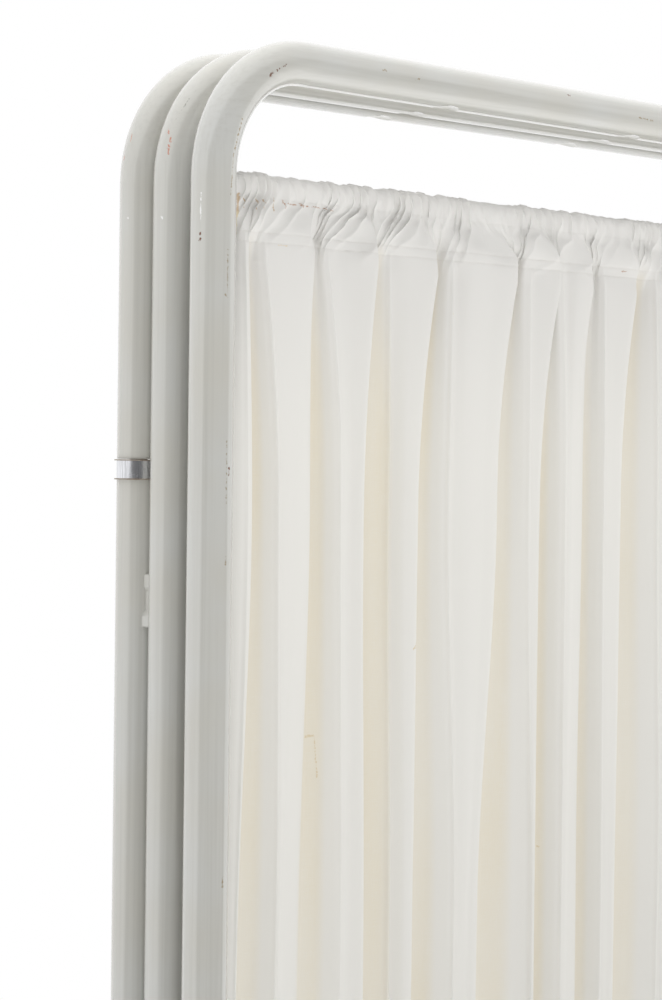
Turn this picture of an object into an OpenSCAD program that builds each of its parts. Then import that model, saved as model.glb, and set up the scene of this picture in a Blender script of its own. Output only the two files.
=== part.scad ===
// Three-leaf folding screen: a standing centre frame carries a front and a rear wing.
// X runs along the frames, Y is depth with the front at -Y, Z is up.
// The origin is on the floor, under the middle of the centre frame.

/* [Frames] */
// Overall height from floor to the top of the bars
height = 1750; // [1500:5:1900]
// Upright to upright, between tube axes
panel_w = 680; // [560:5:760]
// Outer diameter of the frame tube
tube_d = 30; // [26:0.5:31]
// Wall of the frame tube
tube_wall = 1.5; // [1.2:0.1:2.5]
// Bend radius of the corners, at the tube axis
corner_r = 82; // [60:1:110]
// Height of the lower bars' axes above the floor
lower_bar_z = 150; // [110:5:250]

/* [Top bar holes] */
// Distance between the two holes of a top bar
hole_pitch = 217; // [120:1:300]
// Diameter of each hole
hole_d = 5; // [4:0.5:8]
// Depth of the dish pressed in round each hole
dish_depth = 2.6; // [1:0.1:3.5]
// Radius of the dish's spherical face
dish_r = 33; // [20:1:45]

/* [Hinges] */
// Distance between the axes of a post and its centre upright
post_gap = 33.5; // [32.5:0.1:40]
// Sideways lean of the front post's lugs
front_lean = 18; // [0:1:20]
// How far the front wing stands open at rest
front_open = 1.3; // [0:0.1:10]
// Bearing ring's middle, below the top bar's axis
ring_drop = 274; // [200:1:400]
// Height of a bearing ring
ring_h = 12; // [8:0.5:20]
// Thickness of a ring washer
washer_t = 0.8; // [0.5:0.1:2]
// How far a washer stands out beyond the tube
washer_lip = 1.5; // [0.5:0.1:1.7]
// Gap between a wing's stub and the washer that it turns on
turn_gap = 0.3; // [0.2:0.05:0.6]
// Diameter of a hinge pin
pin_d = 12; // [8:0.5:16]
// Depth of a plug or a bush in its tube
insert_len = 30; // [20:1:50]
// Diameter of the screw that holds a pin in its plug
set_screw_d = 6; // [4:0.5:8]

/* [Lugs] */
// Lug's middle, below the top bar's axis
lug_drop = 362; // [340:1:450]
// Height of a lug
lug_h = 36; // [28:1:60]
// Half width of the lug's upper end
lug_top_w = 6.4; // [5:0.1:9]
// Half width of the lug's waist
lug_waist_w = 5.3; // [4:0.1:8]
// Half width of the lug's lower end
lug_foot_w = 7.7; // [6:0.1:10]
// Diameter of the screw through post and lug
lug_screw_d = 5; // [4:0.5:6]
// Reach of a lug screw inside the bore of the centre upright
lug_screw_bite = 4; // [2:0.5:8]

/* [Curtains] */
// Diameter of a curtain rod
rod_d = 8; // [6:0.5:10]
// Rod's axis, from the nearest bar's axis
rod_inset = 86; // [84:1:150]
// Reach of a rod's end into the hole of its upright
rod_reach = 7; // [4:0.5:10]
// Number of folds in a curtain
fold_count = 17; // [8:1:24]
// Depth of the folds, from front to back
fold_depth = 21; // [10:0.5:24]
// Thickness of the gathered cloth
cloth_t = 1.2; // [0.8:0.1:2]
// Curtain's edge to the upright beside it
side_gap = 3; // [2:0.5:10]
// Cloth round a rod, beyond the rod
casing_gap = 0.3; // [0.2:0.1:1]
// Small frill that stands above the rod
frill_h = 3; // [1:0.5:10]

/* [Feet] */
// Length of a cross foot
foot_len = 400; // [340:5:500]
// Floor to the underside of a foot tube
glide_h = 10; // [8:0.5:20]
// Diameter of a floor glide
glide_d = 26; // [20:1:28]
// Glide's axis to the end of its foot tube
glide_inset = 25; // [16:1:60]
// Thickness of a foot tube's end cap
cap_t = 4; // [2:0.5:8]
// Diameter of the bolt that holds a leg to its foot
bolt_d = 8; // [6:1:10]
// Height of the foot bolt's head
bolt_head_h = 5.3; // [3:0.1:7]
// Reach of the foot bolt into its plug, above the foot tube
bolt_reach = 22; // [12:1:30]
// Diameter of a glide screw
glide_screw_d = 4; // [3:0.5:5]
// Reach of a glide screw into its foot tube
glide_screw_reach = 5.5; // [3:0.5:10]

/* [Hidden] */
$fn = 48;
fit = 0.05;
over = 1;

tube_r = tube_d / 2;
bore_r = tube_r - tube_wall;
half_w = panel_w / 2;
top_z = height - tube_r;
mid_z = (top_z + lower_bar_z) / 2;
half_h = (top_z - lower_bar_z) / 2;
// Heights of the hinge parts, counted from the middle height of a wing
stack_h = ring_h + 2 * washer_t;
stub_end = half_h - ring_drop + stack_h / 2;
post_end = stub_end - turn_gap - stack_h;
lug_up = half_h - lug_drop;
lug_head_r = lug_screw_d * 0.95;
lug_head_h = lug_screw_d * 0.44;
rod_up = half_h - rod_inset;
foot_z = glide_h + tube_r;
glide_y = foot_len / 2 - glide_inset;
casing_r = rod_d / 2 + casing_gap + cloth_t;
curtain_w = panel_w - tube_d - 2 * side_gap;
paint = [0.80, 0.80, 0.77];
steel = [0.72, 0.73, 0.76];
dull_steel = [0.50, 0.49, 0.46];
cloth = [0.93, 0.91, 0.85];
rubber = [0.16, 0.16, 0.16];
nylon = [0.90, 0.89, 0.84];

// ---- Places ----

// A wing's own frame has its hinge axis at x = 0 and its far upright at x = panel_w.
module on_rear_wing()
  translate([-half_w, post_gap, 0]) children();

module on_front_wing()
  on_front_post() rotate([0, 0, 180 + front_open]) children();

module on_front_post()
  translate([half_w - post_gap * sin(front_lean), -post_gap * cos(front_lean), 0]) children();

// Lays children drawn from a centre upright (at the origin) towards its post (along +Y).
module towards_posts() {
  translate([-half_w, 0, 0]) children();
  translate([half_w, 0, 0]) rotate([0, 0, 180 - front_lean]) children();
}

// Draws children at the upper end, and mirrored at the lower end.
module top_and_bottom() {
  translate([0, 0, mid_z]) children();
  translate([0, 0, mid_z]) mirror([0, 0, 1]) children();
}

module top_only() translate([0, 0, mid_z]) children();

module bottom_only() translate([0, 0, mid_z]) mirror([0, 0, 1]) children();

module at_feet()
  for (side = [-1, 1]) translate([side * half_w, 0, 0]) children();

// ---- Basic shapes ----

module along_x(r, from, to)
  translate([from, 0, 0]) rotate([0, 90, 0]) cylinder(r = r, h = to - from);

module along_y(r, from, to)
  translate([0, to, 0]) rotate([90, 0, 0]) cylinder(r = r, h = to - from);

module along_z(r, from, to)
  translate([0, 0, from]) cylinder(r = r, h = to - from);

// Quarter bend from an upright at x = 0 into a bar, its top at z = 0.
module corner(r)
  translate([corner_r, 0, -corner_r]) rotate([90, 0, 0])
    rotate([0, 0, 90]) rotate_extrude(angle = 90) translate([corner_r, 0]) circle(r = r);

// Top bar with its two corners, between uprights at x = 0 and x = panel_w, axis at z = 0.
module bar_and_corners(r) {
  along_x(r, corner_r, panel_w - corner_r);
  corner(r);
  translate([panel_w, 0, 0]) mirror([1, 0, 0]) corner(r);
}

module at_bar_holes()
  for (side = [-1, 1]) translate([half_w + side * hole_pitch / 2, 0, 0]) children();

// Ball whose top presses the dish into the underside of a bar at z = 0.
module dish_ball(r)
  translate([0, 0, dish_depth - tube_r - dish_r]) sphere(r = r, $fn = 96);

// Hollow tube frame: child 0 is its outside, child 1 its bore and child 2 the holes cut in it.
module dished_bar() {
  difference() {
    children(0);
    difference() {
      children(1);
      translate([0, 0, top_z]) at_bar_holes() dish_ball(dish_r + tube_wall);
    }
    translate([0, 0, top_z]) at_bar_holes() {
      dish_ball(dish_r);
      along_z(hole_d / 2, -tube_d, 0);
    }
    children(2);
  }
}

// Holes in the inner walls of the uprights, where the curtain rods end.
module rod_holes(near_x, far_x)
  top_and_bottom() translate([0, 0, rod_up])
    along_x(rod_d / 2 + fit, near_x, far_x);

// ---- Centre frame ----

module centre_path(r, from)
  translate([-half_w, 0, 0]) {
    translate([0, 0, top_z]) bar_and_corners(r);
    for (x = [0, panel_w]) translate([x, 0, 0]) along_z(r, from, top_z - corner_r);
  }

module centre_frame()
  color(paint)
    difference() {
      translate([-half_w, 0, 0]) dished_bar() {
        translate([half_w, 0, 0]) centre_path(tube_r, foot_z);
        translate([half_w, 0, 0]) centre_path(bore_r, foot_z - over);
        rod_holes(0, panel_w);
      }
      at_feet() translate([0, 0, foot_z]) along_y(tube_r + fit, -tube_d, tube_d);
      towards_posts() at_lugs() along_y(lug_screw_d / 2 + fit, 0, tube_d);
    }

module centre_lower_bar()
  color(paint)
    translate([0, 0, lower_bar_z]) difference() {
      along_x(tube_r, -half_w, half_w);
      along_x(bore_r, -half_w - over, half_w + over);
      at_feet() along_z(tube_r + fit, -tube_d, tube_d);
    }

// ---- Feet ----

module foot(side)
  color(paint)
    translate([side * half_w, 0, foot_z]) difference() {
      along_y(tube_r, -foot_len / 2, foot_len / 2);
      along_y(bore_r, -foot_len / 2 - over, foot_len / 2 + over);
      along_z(bolt_d / 2 + fit, -tube_d, tube_d);
      for (end = [-1, 1]) translate([0, end * glide_y, 0])
        along_z(glide_screw_d / 2 + fit, -tube_d, 0);
    }

module left_foot() foot(-1);

module right_foot() foot(1);

module at_foot_ends()
  at_feet() for (turn = [0, 180]) rotate([0, 0, turn]) children();

module foot_caps()
  color(rubber)
    at_foot_ends() translate([0, foot_len / 2, foot_z]) {
      intersection() {
        along_y(tube_r, 0, cap_t);
        translate([0, cap_t - dish_r, 0]) sphere(r = dish_r, $fn = 96);
      }
      along_y(bore_r - fit, -insert_len / 2, over);
    }

module glide_screw_form(gap) {
  along_z(glide_screw_d / 2 + gap, glide_h / 2, glide_h + glide_screw_reach);
  along_z(glide_screw_d + gap, (glide_h - glide_screw_d) / 2, glide_h / 2 + gap);
}

module foot_glides()
  color(rubber)
    at_foot_ends() difference() {
      translate([0, glide_y, 0]) cylinder(r = glide_d / 2, h = glide_h + tube_r / 4);
      translate([0, 0, foot_z]) along_y(tube_r + fit, 0, foot_len);
      translate([0, glide_y, 0]) {
        glide_screw_form(fit);
        along_z(glide_screw_d + fit, -over, glide_h / 2);
      }
    }

module glide_screws()
  color(steel) at_foot_ends() translate([0, glide_y, 0]) glide_screw_form(0);

module leg_plugs()
  color(steel)
    at_feet() difference() {
      along_z(bore_r - fit, foot_z, foot_z + tube_r + insert_len);
      translate([0, 0, foot_z]) along_y(tube_r + fit, -tube_d, tube_d);
      along_z(bolt_d / 2 + fit, foot_z, foot_z + tube_r + bolt_reach + over);
    }

module foot_bolts()
  color(steel)
    at_feet() {
      along_z(bolt_d / 2, glide_h - over, foot_z + tube_r + bolt_reach);
      translate([0, 0, glide_h - bolt_head_h])
        cylinder(r = bolt_d * 0.92, h = bolt_head_h - fit, $fn = 6);
    }

// ---- Hinge posts and lugs, on the centre frame ----

module at_lugs()
  top_and_bottom() translate([0, 0, lug_up]) children();

module post()
  difference() {
    along_z(tube_r, mid_z - post_end, mid_z + post_end);
    along_z(bore_r, mid_z - post_end - over, mid_z + post_end + over);
  }

// Hole right through a post, drawn with the post's own axis at y = post_gap.
module lug_screw_hole()
  at_lugs() along_y(lug_screw_d / 2 + fit, 0, post_gap + tube_d);

module front_hinge_post()
  color(paint)
    difference() {
      on_front_post() post();
      translate([half_w, 0, 0]) rotate([0, 0, 180 - front_lean]) lug_screw_hole();
    }

module rear_hinge_post()
  color(paint)
    difference() {
      on_rear_wing() post();
      translate([-half_w, 0, 0]) lug_screw_hole();
    }

// Outline of a lug as seen along the screw: wide ends and a waist.
module lug_outline() {
  end_h = lug_h / 4;
  half = lug_h / 2;
  offset(r = 1.5, $fn = 24) offset(delta = -1.5)
    polygon([
      [-lug_top_w, half], [lug_top_w, half],
      [lug_top_w, half - end_h], [lug_waist_w, half - 1.3 * end_h],
      [lug_waist_w, 1.3 * end_h - half], [lug_foot_w, 0.8 * end_h - half],
      [lug_foot_w, -half], [-lug_foot_w, -half],
      [-lug_foot_w, 0.8 * end_h - half], [-lug_waist_w, 1.3 * end_h - half],
      [-lug_waist_w, half - 1.3 * end_h], [-lug_top_w, half - end_h]
    ]);
}

module hinge_lugs()
  color(paint)
    towards_posts() difference() {
      at_lugs() translate([0, post_gap, 0]) rotate([90, 0, 0])
        linear_extrude(post_gap) lug_outline();
      along_z(tube_r + fit, 0, height);
      translate([0, post_gap, 0]) along_z(tube_r + fit, 0, height);
      lug_screw_hole();
    }

module lug_screws()
  color(steel)
    towards_posts() at_lugs() {
      along_y(lug_screw_d / 2, bore_r - lug_screw_bite, post_gap + tube_r + over);
      intersection() {
        translate([0, post_gap, 0]) along_y(lug_head_r, bore_r, tube_r + lug_head_h);
        translate([0, post_gap, 0]) difference() {
          cube([tube_d, 3 * tube_d, tube_d], center = true);
          along_z(tube_r + fit, -tube_d, tube_d);
        }
      }
    }

module bush()
  difference() {
    along_z(bore_r - fit, post_end - insert_len, post_end);
    along_z(pin_d / 2 + fit, post_end - insert_len - over, post_end + over);
  }

module hinge_bushes()
  color(nylon) {
    on_front_post() top_and_bottom() bush();
    on_rear_wing() top_and_bottom() bush();
  }

// Ring and washers between a post and a stub, resting on the lower of the two.
module bearing_ring(lift)
  translate([0, 0, lift + post_end + washer_t]) difference() {
    cylinder(r = tube_r, h = ring_h);
    translate([0, 0, -over]) cylinder(r = pin_d / 2 + fit, h = ring_h + 2 * over);
  }

module ring_washers(lift)
  for (up = [0, ring_h + washer_t])
    translate([0, 0, lift + post_end + up]) difference() {
      cylinder(r = tube_r + washer_lip, h = washer_t);
      translate([0, 0, -over]) cylinder(r = pin_d / 2 + fit, h = washer_t + 2 * over);
    }

module upper_bearing_rings()
  color(steel) {
    on_front_post() top_only() bearing_ring(0);
    on_rear_wing() top_only() bearing_ring(0);
  }

module upper_ring_washers()
  color(dull_steel) {
    on_front_post() top_only() ring_washers(0);
    on_rear_wing() top_only() ring_washers(0);
  }

// ---- Wings ----

// Wing tube: two short stubs on the hinge axis, a full upright at the far side.
module wing_path(r, extra) {
  top_and_bottom() {
    translate([0, 0, half_h]) bar_and_corners(r);
    along_z(r, stub_end - extra, half_h - corner_r);
  }
  translate([panel_w, 0, 0]) along_z(r, lower_bar_z + corner_r, top_z - corner_r);
}

module set_screw_place()
  top_and_bottom() translate([0, 0, stub_end + insert_len / 2]) children();

module wing_frame()
  color(paint)
    dished_bar() {
      wing_path(tube_r, 0);
      wing_path(bore_r, over);
      union() {
        rod_holes(0, panel_w);
        set_screw_place() along_x(set_screw_d / 2 + fit, 0, tube_d);
      }
    }

module hinge_plugs()
  color(steel)
    difference() {
      top_and_bottom() difference() {
        along_z(bore_r - fit, stub_end, stub_end + insert_len);
        along_z(pin_d / 2 + fit, stub_end - over, stub_end + insert_len + over);
      }
      set_screw_place() along_x(set_screw_d / 2 + fit, 0, tube_d);
    }

module hinge_pins()
  color(steel)
    top_and_bottom() along_z(pin_d / 2, post_end - insert_len + 2, stub_end + insert_len - 2);

module set_screws()
  color(dull_steel)
    set_screw_place() difference() {
      along_x(set_screw_d / 2, pin_d / 2 + fit, tube_r - 0.3);
      translate([tube_r - 3, 0, 0]) rotate([0, 90, 0])
        cylinder(r = set_screw_d / 4, h = tube_r, $fn = 6);
    }

module lower_ring() color(steel) bottom_only() bearing_ring(turn_gap);

module lower_washers() color(dull_steel) bottom_only() ring_washers(turn_gap);

// ---- Curtains ----

// Rod from upright to upright, its ends in the holes of the inner walls.
module rod()
  color(steel) along_x(rod_d / 2, tube_r - rod_reach, panel_w - tube_r + rod_reach);

module top_rod() top_only() translate([0, 0, rod_up]) rod();

module bottom_rod() bottom_only() translate([0, 0, rod_up]) rod();

// Centre line of the folds at a share s (0 to 1) of the curtain's width.
function fold_y(s) = (fold_depth - cloth_t) / 2 * sin(360 * fold_count * s);

module fold_band() {
  steps = 8 * fold_count;
  front = [for (i = [0 : steps]) [curtain_w * i / steps, fold_y(i / steps) - cloth_t / 2]];
  back = [for (i = [steps : -1 : 0]) [curtain_w * i / steps, fold_y(i / steps) + cloth_t / 2]];
  polygon(concat(front, back));
}

module casing() {
  difference() {
    union() {
      along_x(casing_r, 0, curtain_w);
      translate([0, -cloth_t, 0]) cube([curtain_w, 2 * cloth_t, casing_r + frill_h]);
    }
    along_x(rod_d / 2 + casing_gap, -over, curtain_w + over);
  }
}

module curtain()
  color(cloth)
    translate([tube_r + side_gap, 0, 0]) {
      translate([0, 0, mid_z - rod_up + casing_r - cloth_t / 2])
        linear_extrude(2 * rod_up - 2 * casing_r + cloth_t) fold_band();
      top_and_bottom() translate([0, 0, rod_up]) casing();
    }

module on_centre() translate([-half_w, 0, 0]) children();

module centre_top_rod() on_centre() top_rod();

module centre_bottom_rod() on_centre() bottom_rod();

module centre_curtain() on_centre() curtain();

module front_frame() on_front_wing() wing_frame();

module front_hinge_plugs() on_front_wing() hinge_plugs();

module front_hinge_pins() on_front_wing() hinge_pins();

module front_set_screws() on_front_wing() set_screws();

module front_lower_ring() on_front_wing() lower_ring();

module front_ring_washers() on_front_wing() lower_washers();

module front_top_rod() on_front_wing() top_rod();

module front_bottom_rod() on_front_wing() bottom_rod();

module front_curtain() on_front_wing() curtain();

module rear_frame() on_rear_wing() wing_frame();

module rear_hinge_plugs() on_rear_wing() hinge_plugs();

module rear_hinge_pins() on_rear_wing() hinge_pins();

module rear_set_screws() on_rear_wing() set_screws();

module rear_lower_ring() on_rear_wing() lower_ring();

module rear_ring_washers() on_rear_wing() lower_washers();

module rear_top_rod() on_rear_wing() top_rod();

module rear_bottom_rod() on_rear_wing() bottom_rod();

module rear_curtain() on_rear_wing() curtain();

centre_frame();
centre_lower_bar();
left_foot();
right_foot();
foot_caps();
foot_glides();
glide_screws();
leg_plugs();
foot_bolts();
front_hinge_post();
rear_hinge_post();
hinge_lugs();
lug_screws();
hinge_bushes();
upper_bearing_rings();
upper_ring_washers();
centre_top_rod();
centre_bottom_rod();
centre_curtain();
front_frame();
front_hinge_plugs();
front_hinge_pins();
front_set_screws();
front_lower_ring();
front_ring_washers();
front_top_rod();
front_bottom_rod();
front_curtain();
rear_frame();
rear_hinge_plugs();
rear_hinge_pins();
rear_set_screws();
rear_lower_ring();
rear_ring_washers();
rear_top_rod();
rear_bottom_rod();
rear_curtain();
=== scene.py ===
# Looks of the folding screen: enamelled tube frames, bright hinge rings and gathered cotton curtains.
# Everything is in metres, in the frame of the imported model.
import math

import bpy
import numpy as np
from mathutils import Matrix, Vector


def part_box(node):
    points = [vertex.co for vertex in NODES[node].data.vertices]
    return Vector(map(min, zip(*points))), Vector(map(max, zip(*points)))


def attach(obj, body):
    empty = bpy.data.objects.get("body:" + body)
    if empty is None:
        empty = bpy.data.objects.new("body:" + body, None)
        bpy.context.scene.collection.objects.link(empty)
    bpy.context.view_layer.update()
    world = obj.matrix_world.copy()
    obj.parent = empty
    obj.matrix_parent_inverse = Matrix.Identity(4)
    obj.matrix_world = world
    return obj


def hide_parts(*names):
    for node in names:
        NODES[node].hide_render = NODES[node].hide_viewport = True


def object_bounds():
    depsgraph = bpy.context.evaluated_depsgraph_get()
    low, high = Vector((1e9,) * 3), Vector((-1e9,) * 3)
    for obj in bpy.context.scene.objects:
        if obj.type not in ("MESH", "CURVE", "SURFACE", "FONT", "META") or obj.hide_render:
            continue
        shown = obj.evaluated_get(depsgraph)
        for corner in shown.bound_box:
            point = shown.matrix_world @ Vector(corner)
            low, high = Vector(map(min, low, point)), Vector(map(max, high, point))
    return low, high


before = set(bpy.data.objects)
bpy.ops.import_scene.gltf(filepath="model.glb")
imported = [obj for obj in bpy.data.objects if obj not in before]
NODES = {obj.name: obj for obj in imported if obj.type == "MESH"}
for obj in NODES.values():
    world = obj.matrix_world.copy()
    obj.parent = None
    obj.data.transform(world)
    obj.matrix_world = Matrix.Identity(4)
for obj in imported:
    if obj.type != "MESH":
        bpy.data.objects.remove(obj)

CAD_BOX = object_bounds()
HEIGHT = CAD_BOX[1][2]
MM = 0.001


# ---- Camera, floor and light ----

CAMERA_PLACE = (-1.6024, -1.3629, 1.4650)
CAMERA_TURN = (46.078, -0.710, 0.704)    # yaw, pitch and roll, in degrees
CAMERA_LENS = 100.08
CAMERA_SENSOR = 36.0
CAMERA_REACH = 60.0


def make_camera():
    yaw, pitch, roll = (math.radians(angle) for angle in CAMERA_TURN)
    ahead = Vector((math.sin(yaw) * math.cos(pitch), math.cos(yaw) * math.cos(pitch), math.sin(pitch)))
    level = Vector((math.cos(yaw), -math.sin(yaw), 0))
    up = level.cross(ahead)
    right = math.cos(roll) * level + math.sin(roll) * up
    top = math.cos(roll) * up - math.sin(roll) * level
    camera = bpy.data.objects.new("camera", bpy.data.cameras.new("camera"))
    camera.data.lens = CAMERA_LENS
    camera.data.sensor_width = CAMERA_SENSOR
    camera.data.clip_end = CAMERA_REACH
    turn = Matrix((right, top, -ahead)).transposed().to_4x4()
    camera.matrix_world = Matrix.Translation(CAMERA_PLACE) @ turn
    link(camera)
    bpy.context.scene.camera = camera


def link(obj):
    bpy.context.scene.collection.objects.link(obj)
    return obj


def node(tree, kind, inputs=(), **settings):
    """Adds a shader node. inputs maps a socket's name or number to a value, or to a socket to link."""
    made = tree.nodes.new(kind)
    for name, value in settings.items():
        setattr(made, name, value)
    for key, value in dict(inputs).items():
        if isinstance(value, bpy.types.NodeSocket):
            tree.links.new(value, made.inputs[key])
        else:
            made.inputs[key].default_value = value
    return made


def maths(tree, operation, *values):
    return node(tree, "ShaderNodeMath", dict(enumerate(values)), operation=operation).outputs[0]


def vector_maths(tree, operation, *values):
    made = node(tree, "ShaderNodeVectorMath", dict(enumerate(values)), operation=operation)
    return made.outputs["Value" if operation in ("DOT_PRODUCT", "LENGTH", "DISTANCE") else "Vector"]


def remap(tree, value, low, high, to_low=0.0, to_high=1.0, curve="SMOOTHSTEP"):
    inputs = {0: value, 1: low, 2: high, 3: to_low, 4: to_high}
    return node(tree, "ShaderNodeMapRange", inputs, interpolation_type=curve).outputs[0]


def mix(tree, share, a, b):
    """Colour a where share is 0, colour b where it is 1."""
    made = node(tree, "ShaderNodeMix", {0: share, 6: a, 7: b}, data_type="RGBA")
    return made.outputs[2]


def seen_directly(tree):
    """1 for rays from the camera, a mirror or glass."""
    path = node(tree, "ShaderNodeLightPath").outputs
    seen = maths(tree, "MAXIMUM", path["Is Camera Ray"], path["Is Glossy Ray"])
    return maths(tree, "MAXIMUM", seen, path["Is Transmission Ray"])


# The studio's light from all round: a base, then patches with their direction, added strength and narrowness.
SKY_TINT = (1.0, 0.995, 0.985, 1)
SKY_BASE = 0.025
SKY_PATCHES = (
    ((0.66, -0.62, 0.25), 0.60, 2.0),
    ((-0.60, 0.75, 0.10), 0.12, 1.5),
    ((-0.95, 0.30, -0.10), -0.30, 2.0),
    ((-0.72, -0.69, -0.05), 0.14, 2.5),
    ((-0.35, 0.10, 0.93), 1.75, 3.0),
    ((0.0, 0.0, -1.0), 3.2, 1.0),
)
# Soft boxes: place, width and height, and radiance, where 1 is white. The first is overhead, and the second
# is the bright wall behind the screen.
SOFT_BOXES = (
    ((0.0, 0.35, 3.3), (2.6, 1.5), 2.8),
    ((2.7, 2.6, 1.7), (6.0, 4.4), 0.4),
)
BOX_AIM = Vector((0.0, 0.0, 1.5))
# The unlit front of the studio, as gloss and polished steel mirror it.
DIM_SIDE = (-0.25, -0.94, -0.24)
DIM_EDGE = (0.25, 0.42)     # cosine of the angle from DIM_SIDE where it starts, and where it is darkest
DIM_DEPTH = 0.85


def sky_lobe(tree, ray, direction, power):
    unit = Vector(direction).normalized()
    facing = vector_maths(tree, "DOT_PRODUCT", ray, unit)
    return maths(tree, "POWER", maths(tree, "MAXIMUM", facing, 0.0), power)


def make_world():
    world = bpy.data.worlds.new("studio")
    bpy.context.scene.world = world
    world.use_nodes = True
    tree = world.node_tree
    tree.nodes.clear()
    ray = node(tree, "ShaderNodeTexCoord").outputs["Generated"]
    level = SKY_BASE
    for direction, strength, power in SKY_PATCHES:
        level = maths(tree, "MULTIPLY_ADD", sky_lobe(tree, ray, direction, power), strength, level)
    light = node(tree, "ShaderNodeBackground", {"Color": SKY_TINT, "Strength": level})
    path = node(tree, "ShaderNodeLightPath").outputs
    unlit = remap(tree, sky_lobe(tree, ray, DIM_SIDE, 1.0), *DIM_EDGE)
    dim = maths(tree, "MULTIPLY", unlit, path["Is Glossy Ray"])
    shown = maths(tree, "MULTIPLY_ADD", dim, -DIM_DEPTH, 1.0)
    white = node(tree, "ShaderNodeBackground", {"Color": (1, 1, 1, 1), "Strength": shown})
    seen = seen_directly(tree)
    both = node(tree, "ShaderNodeMixShader", {0: seen, 1: light.outputs[0], 2: white.outputs[0]})
    node(tree, "ShaderNodeOutputWorld", {0: both.outputs[0]})


def make_lamps():
    for place, size, radiance in SOFT_BOXES:
        lamp = bpy.data.lights.new("soft_box", "AREA")
        lamp.shape = "RECTANGLE"
        lamp.size, lamp.size_y = size
        lamp.energy = radiance * math.pi * size[0] * size[1]
        box = link(bpy.data.objects.new("soft_box", lamp))
        box.location = place
        box.rotation_euler = (BOX_AIM - Vector(place)).to_track_quat("-Z", "Y").to_euler()
        box.visible_camera = False
        box.visible_glossy = False


FLOOR_R = 1.2
FLOOR_Z = -0.0004           # a hair below the glides, so that the two don't flicker
FLOOR_FADE = (0.5, 1.15)    # distances from the middle between which the floor turns white
FLOOR_COLOR = (0.88, 0.88, 0.875, 1)


def make_floor():
    """White disc under the screen that keeps its shadow and fades into the white surround."""
    bpy.ops.mesh.primitive_circle_add(vertices=128, radius=FLOOR_R, fill_type="NGON",
                                      location=(0, 0, FLOOR_Z))
    floor = bpy.context.object
    floor.name = "floor"
    mat = bpy.data.materials.new("floor")
    mat.use_nodes = True
    tree = mat.node_tree
    tree.nodes.clear()
    place = node(tree, "ShaderNodeTexCoord").outputs["Object"]
    reach = vector_maths(tree, "LENGTH", place)
    far = remap(tree, reach, *FLOOR_FADE)
    plain = node(tree, "ShaderNodeBsdfDiffuse", {"Color": FLOOR_COLOR})
    white = node(tree, "ShaderNodeEmission", {"Color": (1, 1, 1, 1), "Strength": 1.0})
    share = maths(tree, "MULTIPLY", far, seen_directly(tree))
    both = node(tree, "ShaderNodeMixShader", {0: share, 1: plain.outputs[0], 2: white.outputs[0]})
    node(tree, "ShaderNodeOutputMaterial", {0: both.outputs[0]})
    floor.data.materials.append(mat)


# ---- Materials ----

def material(name, color, roughness, **sockets):
    mat = bpy.data.materials.new(name)
    mat.use_nodes = True
    shader = mat.node_tree.nodes["Principled BSDF"]
    shader.inputs["Base Color"].default_value = (*color, 1)
    shader.inputs["Roughness"].default_value = roughness
    for socket, value in sockets.items():
        shader.inputs[socket.replace("_", " ")].default_value = value
    return mat, mat.node_tree, shader


def drive(tree, shader, socket, source):
    tree.links.new(source, shader.inputs[socket])


def noise(tree, place, scale, detail=3.0, rough=0.5):
    inputs = {"Vector": place, "Scale": scale, "Detail": detail, "Roughness": rough}
    return node(tree, "ShaderNodeTexNoise", inputs).outputs[0]


def stretched(tree, place, by):
    return node(tree, "ShaderNodeMapping", {"Vector": place, "Scale": by}).outputs[0]


def bump(tree, shader, height, strength, distance):
    made = node(tree, "ShaderNodeBump", {"Height": height, "Strength": strength, "Distance": distance})
    drive(tree, shader, "Normal", made.outputs[0])


TORN_NOISE = (520.0, 4.0, 0.75)    # scale, detail and roughness of the noise that tears a mark's outline
NOISE_MIDDLE = 0.47                # the value that noise stays round


def mark(tree, place, start, end, reach):
    """1 inside a broken, ragged stroke from start to end, all in millimetres."""
    a, b = Vector(start) * MM, Vector(end) * MM
    along = b - a
    if along.length > 0:
        unit = along / along.length_squared
        share = vector_maths(tree, "DOT_PRODUCT", vector_maths(tree, "SUBTRACT", place, a), unit)
        share = maths(tree, "MINIMUM", maths(tree, "MAXIMUM", share, 0.0), 1.0)
        near = vector_maths(tree, "MULTIPLY_ADD", share, along, a)
    else:
        near = a
    gap = vector_maths(tree, "DISTANCE", place, near)
    ragged = min(5.0, 3.0 / reach)     # a small mark is torn more
    rough = noise(tree, place, *TORN_NOISE)
    torn = maths(tree, "MULTIPLY_ADD", rough, 2 * ragged * reach * MM, gap)
    edge = reach * MM * (1 + 2 * NOISE_MIDDLE * ragged)
    return remap(tree, torn, edge, edge - 0.6 * reach * MM)


def with_marks(tree, place, color, marks):
    for tint, strokes in marks:
        total = 0.0
        for stroke in strokes:
            total = maths(tree, "MAXIMUM", total, mark(tree, place, *stroke))
        color = mix(tree, total, color, (*tint, 1))
    return color


PAINT = (0.58, 0.58, 0.553)
PAINT_COOL = (0.59, 0.595, 0.575, 1)
PAINT_WARM = (0.57, 0.56, 0.515, 1)
PAINT_LINES = (0.50, 0.495, 0.46, 1)
GRIME = (0.40, 0.38, 0.32, 1)
BEND = (0.10, 0.04)     # the lines turn from upright to level between these distances below the top


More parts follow.
